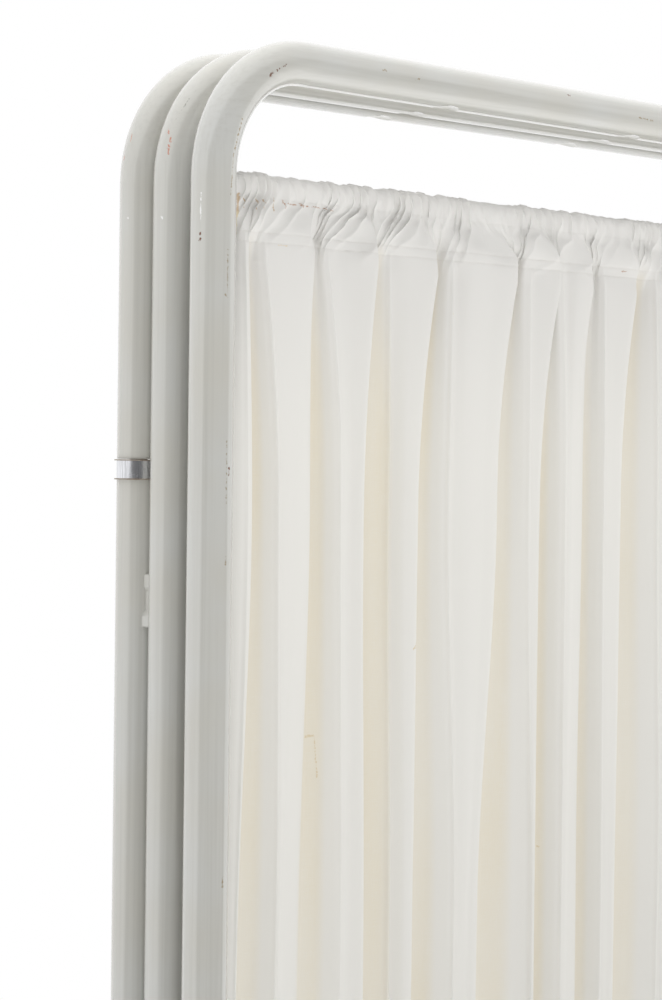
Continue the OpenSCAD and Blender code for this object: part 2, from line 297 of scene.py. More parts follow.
def enamel(name, marks=()):
    """Old gloss enamel on steel: a slight orange peel, long faint lines, fine grime and a few marks."""
    mat, tree, shader = material(name, PAINT, 0.15, Coat_Weight=1.0, Coat_Roughness=0.04)
    place = node(tree, "ShaderNodeTexCoord").outputs["Object"]
    height = node(tree, "ShaderNodeSeparateXYZ", {0: place}).outputs["Z"]
    cloudy = remap(tree, noise(tree, place, 14.0, 3.0), 0.2, 0.8)
    color = mix(tree, cloudy, PAINT_COOL, PAINT_WARM)
    upright = noise(tree, stretched(tree, place, (300, 300, 3)), 1.0, 3.0, 0.6)
    level = noise(tree, stretched(tree, place, (3, 300, 300)), 1.0, 3.0, 0.6)
    on_bar = remap(tree, height, HEIGHT - BEND[0], HEIGHT - BEND[1])
    lines = node(tree, "ShaderNodeMix", {0: on_bar, 2: upright, 3: level}).outputs[0]
    color = mix(tree, remap(tree, lines, 0.4, 0.8, 0.0, 0.6), color, PAINT_LINES)
    grime = remap(tree, noise(tree, place, 160.0, 5.0, 0.75), 0.68, 0.8, 0.0, 0.35)
    color = mix(tree, grime, color, GRIME)
    color = with_marks(tree, place, color, marks)
    drive(tree, shader, "Base Color", color)
    drive(tree, shader, "Roughness", remap(tree, lines, 0.3, 0.7, 0.07, 0.17, "LINEAR"))
    bump(tree, shader, noise(tree, place, 240.0, 1.0), 0.03, 0.0004)
    return mat


RUST = (0.17, 0.075, 0.045)
FAINT_RUST = (0.36, 0.30, 0.21)
RED = (0.55, 0.25, 0.18)
BARE = (0.85, 0.85, 0.85)
SCRATCH = (0.33, 0.32, 0.29)
# Wear of each frame: tint, then strokes as start, end and reach, in millimetres.
WEAR = {
    "front_frame": (
        (RUST, (((-314, -61, 1721), (-311, -61, 1723), 1.3), ((-307, -61, 1725), (-298, -61, 1730), 0.6),
                ((-365, -50.5, 1614.5), (-365, -50.5, 1614), 1.1),
                ((-365, -50.5, 1611), (-365, -50.5, 1610.5), 1.1),
                ((-347.5, -62, 1463), (-347.5, -62, 1458), 0.9), ((6, -52, 1743), (9, -52, 1742), 1.2))),
        (FAINT_RUST, (((-339, -62, 1690), (-346, -62, 1668), 0.8),
                      ((-346.5, -62, 1668), (-349, -62, 1640), 0.5),
                      ((-351, -62, 1604), (-351, -62, 1575), 0.45),
                      ((-353, -62, 1575), (-351, -62, 1573), 0.9),
                      ((-350, -62, 1480), (-350, -62, 1440), 0.5),
                      ((-349.5, -62, 1405), (-349.5, -62, 1400), 0.8),
                      ((-349, -62, 1196), (-349, -62, 1190), 0.9),
                      ((-202, -59, 1737), (-199, -59, 1737), 1.0),
                      ((-168, -58, 1735), (-164, -58, 1735), 0.7),
                      ((94, -52, 1734), (112, -52, 1733.5), 0.8))),
        (BARE, (((-364.7, -50.7, 1641), (-364.7, -50.7, 1622), 0.55),)),
    ),
    "centre_frame": (
        (RED, (((-349.5, -5, 1682), (-352, -5.5, 1670), 0.9), ((-348.5, -1.5, 1687), (-349.5, -3, 1683), 0.6),
               ((-350.5, -5.5, 1677), (-352, -4.5, 1674), 0.7))),
        (SCRATCH, (((-335.7, -7.3, 1708), (-340.3, -6.4, 1701), 0.35),
                   ((-341, -6.3, 1700), (-345.5, -4.4, 1692), 0.4),
                   ((-352, -11, 1560), (-352, -11, 1552), 0.5))),
        (BARE, (((-354.7, -2.8, 1628), (-354.7, -2.8, 1627), 0.8),)),
    ),
    "rear_frame": (
        (RED, (((-349.5, 33.7, 1686), (-350.3, 33.7, 1681), 0.6),
               ((-352.7, 37.8, 1671), (-352.7, 37.8, 1669), 0.7))),
        (BARE, (((-354.7, 30.8, 1630), (-354.7, 30.8, 1629), 0.8),)),
    ),
}


STEEL_LINES = 0.72      # how bright the dark lines in drawn steel are beside the rest


def bright_steel(name, color, low, high, along):
    """Drawn or turned steel: fine lines along one direction, worn unevenly."""
    mat, tree, shader = material(name, color, low, Metallic=1.0)
    place = node(tree, "ShaderNodeTexCoord").outputs["Object"]
    lines = noise(tree, stretched(tree, place, along), 1.0, 4.0, 0.7)
    cloud = noise(tree, place, 60.0, 3.0)
    drive(tree, shader, "Roughness", remap(tree, cloud, 0.3, 0.7, low, high, "LINEAR"))
    dark = tuple(STEEL_LINES * c for c in color)
    drive(tree, shader, "Base Color", mix(tree, remap(tree, lines, 0.35, 0.65), (*dark, 1), (*color, 1)))
    bump(tree, shader, lines, 0.25, 0.0004)
    return mat


def dull(name, color, roughness, worn):
    """Rubber, nylon or dull metal: a fine grain with rubbed patches."""
    scale, depth = 120.0, 0.0003
    mat, tree, shader = material(name, color, roughness)
    place = node(tree, "ShaderNodeTexCoord").outputs["Object"]
    patches = remap(tree, noise(tree, place, scale, 4.0, 0.65), 0.4, 0.7)
    drive(tree, shader, "Base Color", mix(tree, patches, (*color, 1), (*worn, 1)))
    rubbed = min(1.0, roughness + 0.2)
    drive(tree, shader, "Roughness", remap(tree, patches, 0.0, 1.0, roughness, rubbed, "LINEAR"))
    bump(tree, shader, noise(tree, place, scale * 12, 2.0), 0.3, depth)
    return mat


# ---- Curtains ----

CURTAIN_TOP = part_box("centre_curtain")[1][2]
CURTAIN_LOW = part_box("centre_curtain")[0][2]
CURTAIN_H = CURTAIN_TOP - CURTAIN_LOW
PANEL_W = 0.68          # between the middle lines of a frame's uprights
EDGE_X = 0.0158         # from the middle line of an upright to the side edge of the cloth

# Ridges of the front curtain's folds from left to right. A ridge is a few points, each with its place along
# the frame and its depth, in millimetres, at the three heights of RIDGE_LEVELS. The valleys between the
# ridges follow from the width of the gap there.
RIDGES = (
    (((15.5, -1), (15.5, 2), (15.5, -2)), ((23, 6), (27, 6), (26, 1.5)), ((27, 6), (33, 5), (30, 0))),
    (((42, 5), (55, 5), (59, 5)), ((64, 8), (70, 7), (64, 6)), ((88, 8), (85, 4.5), (72, 3.5)),
     ((92, 3), (94, 0), (88, -1))),
    (((104, 5), (118, 6), (123, 6)), ((125, 3), (131, 4.5), (134, 5)), ((149, 9), (140, 9), (144, 8))),
    (((172, 0), (178, -4), (181, -3)), ((192, 6), (188, 6), (191, 6)), ((214, 9), (198, 9), (198, 7))),
    (((235, 5), (234, 5.5), (243, 6)), ((243, 3), (241, 5), (248, 6)), ((252, 7), (250, 7), (254, 7)),
     ((280, 8), (270, 8), (262, 7)), ((305, 9), (286, 7.5), (271, 6.5))),
    (((323, 5), (323, 6), (332, 6)), ((333, 4.5), (328, 8), (334, 8)), ((351, 9), (334, 9), (337, 7.5))),
    (((363, 5), (367, 6), (367, 6)), ((371, 3.5), (371, 6), (370, 6.5)), ((379, 7), (375, 6), (374, 6)),
     ((395, 8), (381, 4), (380, 4)), ((404, -2), (396, 0), (395, 0))),
    (((413, 5), (412, 6), (415, 6)), ((432, 7), (423, 8), (424, 8)), ((450, 9), (433, 9), (431, 8.5))),
    (((479, 5), (481, 6), (488, 6)), ((503, 8), (506, 8), (508, 7))),
    (((531, 5), (534, 6), (537, 6)), ((556, 9), (552, 9), (550, 8))),
    (((581, 5), (583, 6), (585, 6)), ((606, 9), (602, 8), (600, 7))),
    (((632, 5), (633, 6), (635, 5)), ((648, 7), (648, 7), (648, 6)), ((664.5, -1), (664.5, -1), (664.5, -2))),
)
RIDGE_LEVELS = (1.60, 1.44, 1.15)
VALLEY = ((0.30, -6.5), (0.60, -5.5))   # share of the gap between two ridges, and depth there in millimetres
WIDE_GAP = 24.0                         # a narrower gap, in millimetres, holds a shallower valley
SHIFT_WAVE = 17.0                       # how often, in radians a metre, the folds' shift changes sides
DEEP = 0.0058                           # a valley this deep has the full painted shade of deep folds
DEEP_ABOVE_HEM = 0.004                  # how far above the hem that painted shade starts
DEEP_FADE = 0.018                       # and the length over which it comes in

# Distances along the cloth from its top edge. They hold in the same way from its bottom edge.
ROD_FRONT = 0.0075      # where the cloth passes the front of the rod
ROD_BACK = 0.0108       # where the cloth behind the rod starts to come in under it
CASING = 0.016          # the stitch line that closes the casing
HEM = (0.0390, 0.0455)  # the two stitch lines of the hem
FLAP = 0.0470           # the end of the cloth behind the rod

CASING_BULGE = 0.0050   # how far the casing stands out from the rod's middle line, in front and behind
SEAM_FRONT = 0.0004     # how much less the front layer stands out at the casing's stitch line
SEAM_BACK = 0.0008      # the same for the back layer, which comes round to the front under the rod
LAYER_GAP = 0.0008      # between the two layers below the casing

# The cloth's rows lie evenly between these distances from its edges, with so many in each part.
ROW_STOPS = (0.0, CASING, 0.065, 0.11, CURTAIN_H / 2)
ROW_COUNTS = (14, 46, 16, 44)
FLAP_ROWS = 12

# Where the cloth is pushed together on the rod: from and to, in millimetres, and cloth length over rod
# length there.
GATHERS = (
    (15, 54, 1.9), (54, 98, 1.16), (98, 113, 2.0), (124, 150, 1.6), (150, 168, 1.15), (168, 186, 1.9),
    (186, 199, 1.4), (199, 254, 1.85), (306, 372, 1.8), (380, 397, 1.6), (397, 448, 1.10), (448, 456, 2.0),
    (456, 500, 1.75), (500, 535, 1.10), (535, 575, 1.75), (575, 592, 1.2), (592, 604, 1.8), (604, 625, 1.15),
    (625, 665, 1.8),
)
FLAT_PART = 1.03        # cloth length over rod length elsewhere
GATHER_BLUR = 3.0       # how far, in millimetres, one part of GATHERS runs into the next
ROD_SAMPLES = 1300
PLEAT = 0.0118          # cloth width of one small gather
SWEEP = 0.019           # how far the gathers swing to one side on the way down
BOW = 0.0055            # how far they first bow to the other side over the rod
PINCH = 0.75            # power that makes a gather's creases narrow
LIFT = 0.42             # how far a gather lifts the top edge, as a share of its height
EDGE_SINK = 0.0008      # how far the top edge lies lower between the gathers
GATHER_END = (0.030, 0.056)     # the gathers run out between these distances from the edge
RUN_OUT = 0.024                 # length over which one gather runs out
OPENING = (0.021, 0.055)        # the gathered band turns into the large folds between these distances
VALLEYS_LATER = 0.020           # how much longer the valleys take than the ridges
SIDE_FADE = 0.012               # gathers and puckers fade out over this width at the side edges

# What else changes along the cloth: the distance from the edge where it starts, and over what length.
PLACED = (0.008, 0.034)         # columns move from their places on the rod to their places in the folds
SWINGS = (0.010, 0.044)         # gathers swing to one side
BOWS = 0.024                    # length of the bow to the other side, which starts at the edge
SHARPENS = (0.008, 0.014)       # rounded ridges with narrow creases turn into narrow ridges
LOWERS = (0.008, 0.012)         # gathers stand out less below the rod
THINS = (0.016, 0.02)           # gathers get smaller
PUFFS = (CASING, 0.034)         # the cloth puffs out below the casing, and comes back
PUCKERS_END = (0.012, 0.014)    # fine puckers run out
PULL_STARTS = (0.009, 0.016)    # pulled dimples start
PULL_ENDS = (0.035, 0.025)      # and end
LOOSENS = (0.04, 0.2)           # soft unevenness
CREASES = (0.030, 0.04)         # the crease along a ridge's first edge

# Random curves along the cloth: distance between their knots, and size.
START_VARIES = (0.018, 0.009)
LENGTH_VARIES = (0.022, 0.008)
PITCH_VARIES = (0.012, 0.5)
STRENGTH_VARIES = (0.010, 0.45)
LEAN_VARIES = (0.020, 0.5)
STOP_STEP = 0.009
PUFF_VARIES = (0.025, 0.6)
CREASE_VARIES = (0.2, 0.0006)
SEAM_VARIES = (0.03, 0.0001)
SIDE_VARIES = (0.05, 1.0)
# Random fields over the cloth: distance between their knots down and across it, and size.
STRAY = (0.010, 0.014, 1.1)
PUCKERS = (0.020, 0.0032, 0.0012)
DIMPLES = ((0.014, 0.010, 0.0009), (0.028, 0.020, 0.0013))
WAVES = ((0.16, 0.05, 0.0007), (0.5, 0.09, 0.0012))
NARROW_WAVES = (0.35, 0.022, 0.0010)
SIDE_WAVES = (0.4, 0.08, 0.0012)

RELIEF = 0.55           # how far the gathers stand out, as a share of the height their cloth allows
RELIEF_MORE = 0.17      # how much more they do over the rod
RELIEF_GROWS = 1.6      # how fast they grow from the top edge, as the cloth comes round the rod
OUTWARDS = 0.6          # how far their middle lies outside the smooth casing, as a share of their height
THINNER = 0.3           # how much smaller the gathers are below the casing
LEAN = 0.45             # how far a gather's ridge leans over, as a share of its height
UPRIGHT = 0.55          # how much of that lean it has at the top edge
UPRIGHT_END = 0.012     # distance from the edge where it leans over in full
SIDE_IN = 0.0004        # how far the side edges wander
PUFF = 0.0025           # how far the cloth puffs out below the casing
PUCKER_IN = 0.0002      # the most that a pucker goes inwards, where the rod is
CREASE = (0.0008, 0.0014, 0.0015)   # place beyond the ridge's first edge, half width, and height
SEAM_WIDTHS = (0.0009, 0.0006)      # half widths of the casing's and the hem's pressed lines
SEAM_DEPTHS = (0.0001, 0.0003)      # and how deep they are
STITCH = 0.0034         # length of a stitch
STITCH_STEP = 1.35      # from one stitch to the next, in stitch lengths
THREAD_OFF = 0.0001     # how far a thread lies off the cloth
THREAD_HALF = 0.0002    # its half width
THREAD_HIGH = 0.00015   # its height
FRONT = np.array((0.0, -1.0, 0.0))  # the way that the curtains' fronts look


def smooth(x):
    x = np.clip(x, 0.0, 1.0)
    return x * x * (3 - 2 * x)


def rise(x, start, length):
    """0 up to start, 1 from start + length on, and smooth between."""
    return smooth((x - start) / length)


def spline(knots, values, at):
    """Smooth curve through values, whose first axis follows the rising knots, at the given places."""
    slope = np.gradient(values, knots, axis=0)
    k = np.clip(np.searchsorted(knots, at) - 1, 0, len(knots) - 2)
    h = knots[k + 1] - knots[k]
    t = (at - knots[k]) / h
    if values.ndim > 1:
        h, t = h[:, None], t[:, None]
    t2, t3 = t * t, t * t * t
    return ((2 * t3 - 3 * t2 + 1) * values[k] + (t3 - 2 * t2 + t) * h * slope[k]
            + (3 * t2 - 2 * t3) * values[k + 1] + (t3 - t2) * h * slope[k + 1])


def wander(rng, at, step, size):
    """Smooth random curve with values within about size, sampled at the given places."""
    knots = np.arange(at.min() - 2 * step, at.max() + 3 * step, step)
    return spline(knots, rng.uniform(-size, size, len(knots)), at)


def field(rng, down, across, step_down, step_across, size):
    """The same over the whole cloth: rows follow down and columns follow across."""
    rows = np.arange(-FLAP - 2 * step_down, CURTAIN_H + 3 * step_down, step_down)
    columns = np.arange(across.min() - 2 * step_across, across.max() + 3 * step_across, step_across)
    values = rng.uniform(-size, size, (len(rows), len(columns)))
    return spline(rows, spline(columns, values.T, across).T, down)


def fold_table(mirrored, shift):
    """All ridge and valley points as an array [point, level, (x, depth)] in metres, and the numbers of the
    points that are a ridge's first edge. shift moves the folds, so that no two curtains look the same."""
    points, crests = [], []
    for ridge, following in zip(RIDGES, RIDGES[1:] + ((),)):
        crests.append(len(points) + (not crests))
        points.extend(np.array(ridge, float))
        if not following:
            break
        end, start = np.array(ridge[-1], float), np.array(following[0], float)
        gap = start[:, 0] - end[:, 0]
        deep = smooth(gap / WIDE_GAP)
        for share, depth in VALLEY:
            level = (end[:, 1] + start[:, 1]) / 2
            points.append(np.stack([end[:, 0] + share * gap, level * (1 - deep) + depth * deep], axis=1))
    table = np.array(points) * MM
    if mirrored:
        table = table[::-1].copy()
        table[:, :, 0] = PANEL_W - table[:, :, 0]
        crests = [len(table) - 1 - c for c in crests]
    inner = np.sin(np.linspace(0, math.pi, len(table)))[:, None]
    table[:, :, 0] += shift * inner * np.sin(table[:, :, 0] * SHIFT_WAVE)
    return table, crests


def gathered(s, mirrored):
    """Place along the rod of every cloth column at distance s, and the cloth length over rod length there."""
    along = np.linspace(EDGE_X, PANEL_W - EDGE_X, ROD_SAMPLES)
    full = np.full(len(along), FLAT_PART)
    for start, end, most in GATHERS:
        after_start = smooth((along / MM - start + GATHER_BLUR) / (2 * GATHER_BLUR))
        before_end = smooth((end - along / MM + GATHER_BLUR) / (2 * GATHER_BLUR))
        full += after_start * before_end * (most - FLAT_PART)
    if mirrored:
        full = full[::-1]
    cloth = np.concatenate([[0], np.cumsum(full[1:] + full[:-1])])
    x = np.interp(s, cloth * s[-1] / cloth[-1], along)
    return x, np.interp(x, along, full)


def row_drops():
    """Cloth rows as distances from the top edge, along the cloth. The cloth turns back behind both rods: its
    rows there are negative at the top, and larger than the drop at the bottom."""
    parts = [np.linspace(*part)[1:] for part in zip(ROW_STOPS, ROW_STOPS[1:], ROW_COUNTS)]
    front = np.concatenate([[0.0], *parts])
    back = np.concatenate([parts[0], np.linspace(CASING, FLAP, FLAP_ROWS)[1:]])
    return np.concatenate([-back[::-1], front, CURTAIN_H - front[::-1][1:], CURTAIN_H + back])


def large_folds(table, knots, s, z):
    """Place across the frame and depth of the cloth in the large folds: a mix of the three levels."""
    levels = [[spline(knots, table[:, level, axis], s) for axis in (0, 1)] for level in range(3)]
    high, mid, low = RIDGE_LEVELS
    up_share = np.clip((z - mid) / (high - mid), 0, 1) ** 2
    low_share = smooth((mid - z) / (mid - low))
    return (levels[1][axis] * (1 - up_share - low_share) + levels[0][axis] * up_share
            + levels[2][axis] * low_share for axis in (0, 1))


def casing_line(end, behind):
    """How far the smooth casing lies in front of the rod's middle line, which way its gathers stand out (1 is
    to the front), and how far the cloth has come round from the top edge, from 0 to 1."""
    turned = np.clip(end / ROD_FRONT, 0, 1)
    over_rod = np.sqrt(turned * (2 - turned))
    closing = smooth((end - ROD_FRONT) / (CASING - ROD_FRONT))
    front = over_rod * CASING_BULGE - closing * SEAM_FRONT
    under = smooth((end - ROD_BACK) / (CASING - ROD_BACK))
    back = over_rod * CASING_BULGE * (1 - under) - under * (CASING_BULGE - SEAM_BACK - LAYER_GAP)
    return np.where(behind, -back, front), np.where(behind, 2 * under - 1, 1.0), over_rod


def off_edge(s):
    """0 at the cloth's two side edges, and 1 away from them."""
    return smooth(s / SIDE_FADE) * smooth((s[-1] - s) / SIDE_FADE)


def small_gathers(rng, s, rows, end, at_top, pushed, mirrored):
    """Small gathers, each with its own width, lean and length. They bow to one side over the rod, then swing
    to the other on the way down. Gives their height, their shape, and how far they push the cloth sideways.
    pushed is the cloth length over rod length at the top rod and at the bottom rod."""
    pitch = np.full(len(s), s[1] / PLEAT) * (1 + wander(rng, s, *PITCH_VARIES))
    phase = 2 * math.pi * np.cumsum(pitch)
    strength = 1.0 + wander(rng, s, *STRENGTH_VARIES)
    lean = LEAN + wander(rng, s, *LEAN_VARIES)
    stop = np.mean(GATHER_END) + wander(rng, s, STOP_STEP, 0.5 * (GATHER_END[1] - GATHER_END[0]))
    stray = field(rng, rows, s, *STRAY)
    swing = SWEEP * rise(end, *SWINGS) - BOW * np.sin(math.pi * np.clip(end / BOWS, 0, 1))
    swung = np.clip(s[None] + swing * (1 - 2 * mirrored), 0, s[-1])
    turn = np.interp(swung, s, phase) + stray * np.clip(end / CASING, 0.35, 1.5) + 2.0 * (1 - at_top)
    full = np.interp(swung, s, pushed[0]) * at_top + np.interp(swung, s, pushed[1]) * (1 - at_top)
    rounded = 1.5 * np.abs(np.sin(turn / 2)) ** PINCH - 0.85    # narrow creases down to -0.85
    sharp = 0.95 - 1.9 * np.abs(np.cos(turn / 2)) ** PINCH      # narrow ridges up to 0.95
    shape = rounded + (sharp - rounded) * rise(end, *SHARPENS)
    runs_out = 1 - smooth((end - np.interp(swung, s, stop) + RUN_OUT / 2) / RUN_OUT)
    size = PLEAT / 4 * np.sqrt(1 - 1 / full ** 2) * np.interp(swung, s, strength) * runs_out * off_edge(s)
    size = size * (1 - THINNER * rise(end, *THINS))
    leans = UPRIGHT + (1 - UPRIGHT) * smooth(end / UPRIGHT_END)
    return size, shape, size * lean * np.sin(turn) * leans


def make_curtain(columns, seed, mirrored, shift):
    """One gathered curtain in its frame's own plane: its vertices [row, column, (x, depth, z)], its rows as
    distances down the flat cloth, its columns as distances across it, and how deep in a fold each point
    lies, from 0 to 1, which sets the painted shade of the folds."""
    rng = np.random.RandomState(seed)
    table, crests = fold_table(mirrored, shift)
    steps = np.hypot(np.diff(table[:, 1, 0]), np.diff(table[:, 1, 1]))
    knots = np.concatenate([[0], np.cumsum(steps)])
    s = np.linspace(0, knots[-1], columns)
    drops = row_drops()
    rows = CURTAIN_H - np.abs(CURTAIN_H - np.abs(drops))     # both layers of a casing share their rows
    down = rows[:, None]
    end = np.minimum(down, CURTAIN_H - down)
    z = CURTAIN_TOP - down
    at_top = (down < CURTAIN_H / 2).astype(float)
    behind = ((drops < 0) | (drops > CURTAIN_H))[:, None]
    side = np.where(behind, -1.0, 1.0)

    # Below the gathered band the large folds open, the ridges sooner than the valleys.
    x, depth = large_folds(table, knots, s, z)
    (x_top, full_top), (x_low, full_low) = gathered(s, mirrored), gathered(s, not mirrored)
    x_end = x_top * at_top + x_low * (1 - at_top)
    start = OPENING[0] + wander(rng, s, *START_VARIES)
    length = OPENING[1] - OPENING[0] + wander(rng, s, *LENGTH_VARIES)
    opened = rise(end, start, length)
    sunk = rise(end, start, length + VALLEYS_LATER)
    placed = rise(end, *PLACED)
    x = x_end * (1 - placed) + x * placed
    # Painted shade for the folds: how deep each point of the front layer lies in a valley, from 0 to 1, from
    # a little above the hem on.
    shows = smooth((end - HEM[0] + DEEP_ABOVE_HEM) / DEEP_FADE)
    deep = smooth(-depth / DEEP) * shows * (side > 0)

    # In the band the casing, the puffed cloth below it and the small gathers add up.
    size, shape, sideways = small_gathers(rng, s, rows, end, at_top, (full_top, full_low), mirrored)
    line, outward, over_rod = casing_line(end, behind)
    puffed = np.sin(math.pi * np.clip(np.clip(end - PUFFS[0], 0, None) / PUFFS[1], 0, 1)) ** 2
    puff = PUFF * puffed * (0.5 + wander(rng, s, *PUFF_VARIES)) * off_edge(s)
    relief = (RELIEF + RELIEF_MORE * (1 - rise(end, *LOWERS))) * np.clip(RELIEF_GROWS * over_rod, 0, 1)
    depth = (depth * np.where(depth < 0, sunk, opened) + (line + puff) * (1 - opened)
             + outward * relief * size * (OUTWARDS + shape))
    x = x + sideways

    # Fine upright puckers over the rod, and pulled dimples between the stitch line and the hem.
    fine = np.maximum(field(np.random.RandomState(seed + 100), rows, s, *PUCKERS), -PUCKER_IN)
    depth = depth + side * over_rod * fine * (1 - rise(end, *PUCKERS_END)) * off_edge(s)
    pull = rise(end, *PULL_STARTS) * (1 - rise(end, *PULL_ENDS))
    depth = depth + pull * sum(field(rng, rows, s, *kind) for kind in DIMPLES)

    # Soft unevenness lower down.
    loose = rise(end, *LOOSENS)
    depth = depth + loose * sum(field(rng, rows, s, *kind) for kind in WAVES)
    depth = depth + loose * field(rng, rows, s, *NARROW_WAVES)
    x = x + loose * field(rng, rows, s, *SIDE_WAVES)

    # The first edge of a ridge is a soft crease that stands out.
    beyond, half_width, height = CREASE
    places = np.minimum(drops, CURTAIN_H)
    for crest in crests:
        near = np.exp(-((s - knots[crest] - beyond) / half_width) ** 2)
        crease = height + wander(rng, places, *CREASE_VARIES)[:, None]
        depth = depth + near * rise(end, *CREASES) * crease

    # Sewn lines lie a little deeper, and the cloth behind the casing's line stays behind the front layer.
    pressed = SEAM_DEPTHS[0] + wander(rng, s, *SEAM_VARIES)
    depth = depth - pressed * np.exp(-((end - CASING) / SEAM_WIDTHS[0]) ** 2) * side
    for hem in HEM:
        depth = depth - SEAM_DEPTHS[1] * np.exp(-((end - hem) / SEAM_WIDTHS[1]) ** 2)
    depth = depth - (behind & (end > CASING)) * LAYER_GAP

    # The folded edge above the rod stands up on the gathers and sinks between them.
    lift = smooth(1 - end / CASING) * (LIFT * size * (1 + shape) - EDGE_SINK)
    z = z + lift * (2 * at_top - 1)
    limit = EDGE_X - SIDE_IN * (1 + wander(rng, places, *SIDE_VARIES))[:, None]
    x = np.clip(x, limit, PANEL_W - limit)
    return np.stack([x + 0 * depth, depth, z + 0 * depth], axis=2), drops, s, deep


def place_grid(grid, origin, along, out):
    flat = grid.reshape(-1, 3)
    return np.array(origin) + flat[:, :1] * along + flat[:, 1:2] * out + flat[:, 2:3] * np.array((0, 0, 1))


def grid_mesh(name, points, rows, columns, uv_rows, uv_columns, deep):
    """Smooth sheet of quads. Its UVs are the flat cloth in metres, and deep says how deep a point lies."""
    corner = (np.arange(rows - 1)[:, None] * columns + np.arange(columns - 1)[None]).ravel()
    faces = np.stack([corner, corner + columns, corner + columns + 1, corner + 1], axis=1)
    mesh = bpy.data.meshes.new(name)
    mesh.from_pydata(points.tolist(), [], faces.tolist())
    layer = mesh.uv_layers.new(name="cloth")
    flat_uv = np.stack([np.tile(uv_columns, rows), np.repeat(uv_rows, columns)], axis=1)
    layer.data.foreach_set("uv", flat_uv[faces.ravel()].astype(np.float32).ravel())
    mesh.attributes.new("deep", "FLOAT", "POINT").data.foreach_set("value", deep.astype(np.float32).ravel())
    mesh.polygons.foreach_set("use_smooth", np.ones(len(faces), dtype=bool))
    mesh.update()
    return link(bpy.data.objects.new(name, mesh))


def stitches(name, points, drops, s):
    """Short raised threads along every sewn line, lying on the front of the cloth."""
    grid = points.reshape(len(drops), len(s), 3)
    starts = np.arange(STITCH, s[-1] - 2 * STITCH, STITCH * STITCH_STEP)
    verts, faces = [], []
    for drop in (CASING, *HEM, CURTAIN_H - HEM[1], CURTAIN_H - HEM[0], CURTAIN_H - CASING):
        row = int(np.argmin(np.abs(drops - drop) + (drops < 0)))
        a, b = (spline(s, grid[row], starts + shift) for shift in (0.0, STITCH))
        side_a, side_b = grid[row - 1], grid[row + 1]
        upward = spline(s, side_a - side_b, starts + STITCH / 2)
        along = b - a
        out = np.cross(along, upward)
        out /= np.linalg.norm(out, axis=1)[:, None]
        out *= np.sign(out @ FRONT)[:, None]
        upward /= np.linalg.norm(upward, axis=1)[:, None]
        middle = (a + b) / 2 + out * THREAD_OFF
        across = upward * THREAD_HALF
        ring = [a, middle + across, b, middle - across, middle + out * THREAD_HIGH]
        first = len(verts)
        for k in range(len(starts)):
            verts.extend(tuple(p[k]) for p in ring)
            n = first + 5 * k
            faces.extend(((n, n + 1, n + 4), (n + 1, n + 2, n + 4), (n + 2, n + 3, n + 4), (n + 3, n, n + 4)))
    mesh = bpy.data.meshes.new(name)
    mesh.from_pydata(verts, [], faces)
    mesh.update()
    return link(bpy.data.objects.new(name, mesh))


COTTON = (0.835, 0.824, 0.787)
# colour of the painted shade and bounce light in the deep fold valleys
COTTON_FOLD_SHADE = (0.82, 0.765, 0.64)
THREAD_FINE = 2200           # noise scale across a thread
THREAD_LONG = 90             # and along it
SLUB = (0.86, 0.85, 0.82, 1)
SEWN_SHADE = (0.55, 0.50, 0.42, 1)
SEWN_LINES = ((CASING, 0.35), (HEM[0], 1.0), (HEM[1], 1.0))     # distance from the end, and how far it shows
SEWN_HALF = 0.0007
DUST = (0.90, 0.90, 0.915)   # what the cloth's colour is multiplied by at its very ends
DUSTY_EDGE = (0.20, 0.0)     # distance from an end with no dust, and with all of it


def cotton(name, stains=()):
    """Thin old cotton: plain weave, a few slubs, sewn lines, and warmer painted shade where folds are deep.
    """
    mat, tree, shader = material(name, COTTON, 0.85, Specular_IOR_Level=0.2, Sheen_Weight=0.15,
                                 Sheen_Roughness=0.5)
    coords = node(tree, "ShaderNodeTexCoord").outputs
    cloth = coords["UV"]
    weft = noise(tree, stretched(tree, cloth, (THREAD_LONG, THREAD_FINE, 1)), 1.0, 2.0, 0.6)
    warp = noise(tree, stretched(tree, cloth, (THREAD_FINE, THREAD_LONG, 1)), 1.0, 2.0, 0.6)
    thread = maths(tree, "ADD", weft, warp)
    # Painted shade: the cloth turns darker and warmer where its folds are deep, in patches.
    deep = node(tree, "ShaderNodeAttribute", attribute_name="deep").outputs["Fac"]
    patchy = noise(tree, stretched(tree, cloth, (14, 3, 1)), 1.0, 3.0)
    painted_fold_shade = maths(tree, "MULTIPLY", deep, remap(tree, patchy, 0.3, 0.7, 0.55, 1.0))
    color = mix(tree, painted_fold_shade, (*COTTON, 1), (*COTTON_FOLD_SHADE, 1))
    slub = remap(tree, thread, 0.85, 1.3, 0.0, 0.2)
    color = mix(tree, slub, color, SLUB)
    drop = maths(tree, "ABSOLUTE", node(tree, "ShaderNodeSeparateXYZ", {0: cloth}).outputs["Y"])
    left = maths(tree, "ABSOLUTE", maths(tree, "SUBTRACT", CURTAIN_H, drop))
    end = maths(tree, "MINIMUM", drop, left)
    sewn = 0.0
    for line, shown in SEWN_LINES:
        gap = maths(tree, "ABSOLUTE", maths(tree, "SUBTRACT", end, line))
        sewn = maths(tree, "MAXIMUM", sewn, remap(tree, gap, SEWN_HALF, 0.0, 0.0, shown))
    color = mix(tree, maths(tree, "MULTIPLY", sewn, 0.06), color, SEWN_SHADE)
    dusty = {0: remap(tree, end, *DUSTY_EDGE), 6: color, 7: (*DUST, 1)}
    color = node(tree, "ShaderNodeMix", dusty, data_type="RGBA", blend_type="MULTIPLY").outputs[2]
    color = with_marks(tree, cloth, color, stains)
    drive(tree, shader, "Base Color", color)
    height = maths(tree, "MULTIPLY_ADD", sewn, -2.0, thread)
    bump(tree, shader, height, 0.15, 0.0002)
    return mat


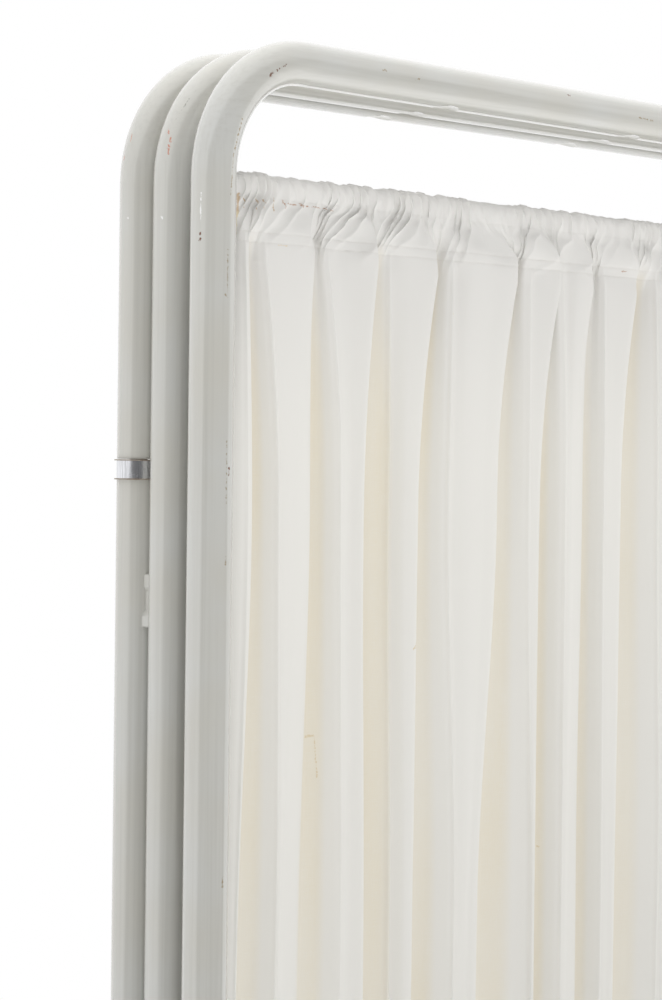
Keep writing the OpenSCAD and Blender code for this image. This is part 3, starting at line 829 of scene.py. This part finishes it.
def in_cloth(points, grid, drops, s):
    """Turns a mark's ends from place and height on the frame to place and drop in the flat cloth, all in
    millimetres."""
    front = np.flatnonzero(drops >= 0)
    ends = []
    for x, z in points:
        gap = np.hypot(grid[front, :, 0] - x * MM, grid[front, :, 2] - z * MM)
        row, column = np.unravel_index(np.argmin(gap), gap.shape)
        ends.append((s[column] / MM, -drops[front[row]] / MM, 0.0))
    return ends


# Stains of the front curtain: tint, then strokes as start, end (place along the frame, height) and reach,
# all in millimetres.
STAINS = (
    ((0.50, 0.35, 0.27), (((59, 1639), (96, 1639), 0.45), ((59, 1641), (61, 1636), 0.5),
                          ((77, 1640), (80, 1638), 0.7), ((96, 1639), (112, 1638), 0.35),
                          ((437, 1616), (438, 1616), 0.8))),
    ((0.55, 0.42, 0.29), (((18, 1641), (18, 1631), 2.6), ((22, 1641), (24, 1634), 0.7),
                          ((34, 1641), (36, 1634), 0.7), ((41, 1641), (42, 1634), 0.5),
                          ((50, 1641), (50, 1634), 0.6))),
    ((0.74, 0.64, 0.46), (((18, 1630), (18, 1618), 2.2), ((197, 1343), (205, 1345), 1.1),
                          ((101, 1283), (108, 1282), 1.2), ((109, 1281), (112, 1251), 0.5),
                          ((33, 1508), (36, 1478), 0.5), ((354, 1180), (356, 1178), 1.0),
                          ((54, 1611), (62, 1611), 0.35), ((236, 1574), (239, 1573), 0.9))),
)
ROD_END = 0.02      # how much of each end of a rod gives the place of its middle line there

CURTAINS = (
    # name, body, columns, seed, turned end for end, shift of the folds
    ("front_curtain", "front_wing", 1000, 3, False, 0.0),
    ("centre_curtain", "centre", 460, 11, True, 0.004),
    ("rear_curtain", "rear_wing", 460, 23, False, -0.005),
)


def wing_plane(curtain):
    """Origin on the floor, direction along the frame and direction of its front, from the top rod."""
    data = NODES[curtain.split("_")[0] + "_top_rod"].data
    points = np.empty(len(data.vertices) * 3)
    data.vertices.foreach_get("co", points)
    points = points.reshape(-1, 3)
    left = points[points[:, 0] < points[:, 0].min() + ROD_END].mean(axis=0)
    right = points[points[:, 0] > points[:, 0].max() - ROD_END].mean(axis=0)
    along = right - left
    along[2] = 0
    along /= np.linalg.norm(along)
    middle = (left + right) / 2
    origin = middle - along * PANEL_W / 2
    origin[2] = 0
    return origin, along, np.array((along[1], -along[0], 0.0))


def make_curtains():
    clean = cotton("curtain_cotton")
    for name, body, columns, seed, mirrored, shift in CURTAINS:
        grid, drops, s, deep = make_curtain(columns, seed, mirrored, shift)
        cloth = clean
        if name == "front_curtain":
            placed = [(tint, [(*in_cloth(stroke[:2], grid, drops, s), stroke[2]) for stroke in strokes])
                      for tint, strokes in STAINS]
            cloth = cotton("stained_cotton", placed)
        origin, along, out = wing_plane(name)
        points = place_grid(grid, origin, along, out)
        piece = grid_mesh(name + "_cloth", points, len(drops), columns, -drops, s, deep)
        piece.data.materials.append(cloth)
        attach(piece, body)
        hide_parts(name)
        thread = stitches(name + "_stitches", points, drops, s)
        thread.data.materials.append(cloth)
        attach(thread, body)


# ---- The carried-over metal and plastic pieces ----

def finish_nodes():
    paint = enamel("enamel")
    worn = {name: enamel(name + "_enamel", marks) for name, marks in WEAR.items()}
    ring = bright_steel("ring_steel", (0.86, 0.87, 0.90), 0.12, 0.3, (900, 900, 30))
    rod = bright_steel("rod_steel", (0.62, 0.62, 0.63), 0.25, 0.45, (30, 900, 900))
    screw = bright_steel("screw_steel", (0.70, 0.70, 0.72), 0.2, 0.4, (500, 500, 500))
    washer = dull("washer_steel", (0.33, 0.29, 0.24), 0.5, (0.20, 0.15, 0.11))
    rubber = dull("rubber", (0.05, 0.05, 0.052), 0.6, (0.10, 0.10, 0.098))
    nylon = dull("nylon", (0.78, 0.77, 0.72), 0.45, (0.70, 0.68, 0.62))
    for name, obj in NODES.items():
        if name.endswith("_curtain"):
            continue
        if "washers" in name or "set_screws" in name:
            mat = washer
        elif name.endswith("ring") or name.endswith("rings"):
            mat = ring
        elif name.endswith("_rod"):
            mat = rod
        elif "caps" in name or "glides" in name:
            mat = rubber
        elif "bushes" in name:
            mat = nylon
        elif "screws" in name or "bolts" in name or "pins" in name or "plugs" in name:
            mat = screw
        else:
            mat = worn.get(name, paint)
        for index in range(len(obj.material_slots)):
            obj.material_slots[index].material = mat


make_camera()
make_world()
make_lamps()
make_floor()
finish_nodes()
make_curtains()
bpy.context.scene.view_settings.view_transform = "Standard"
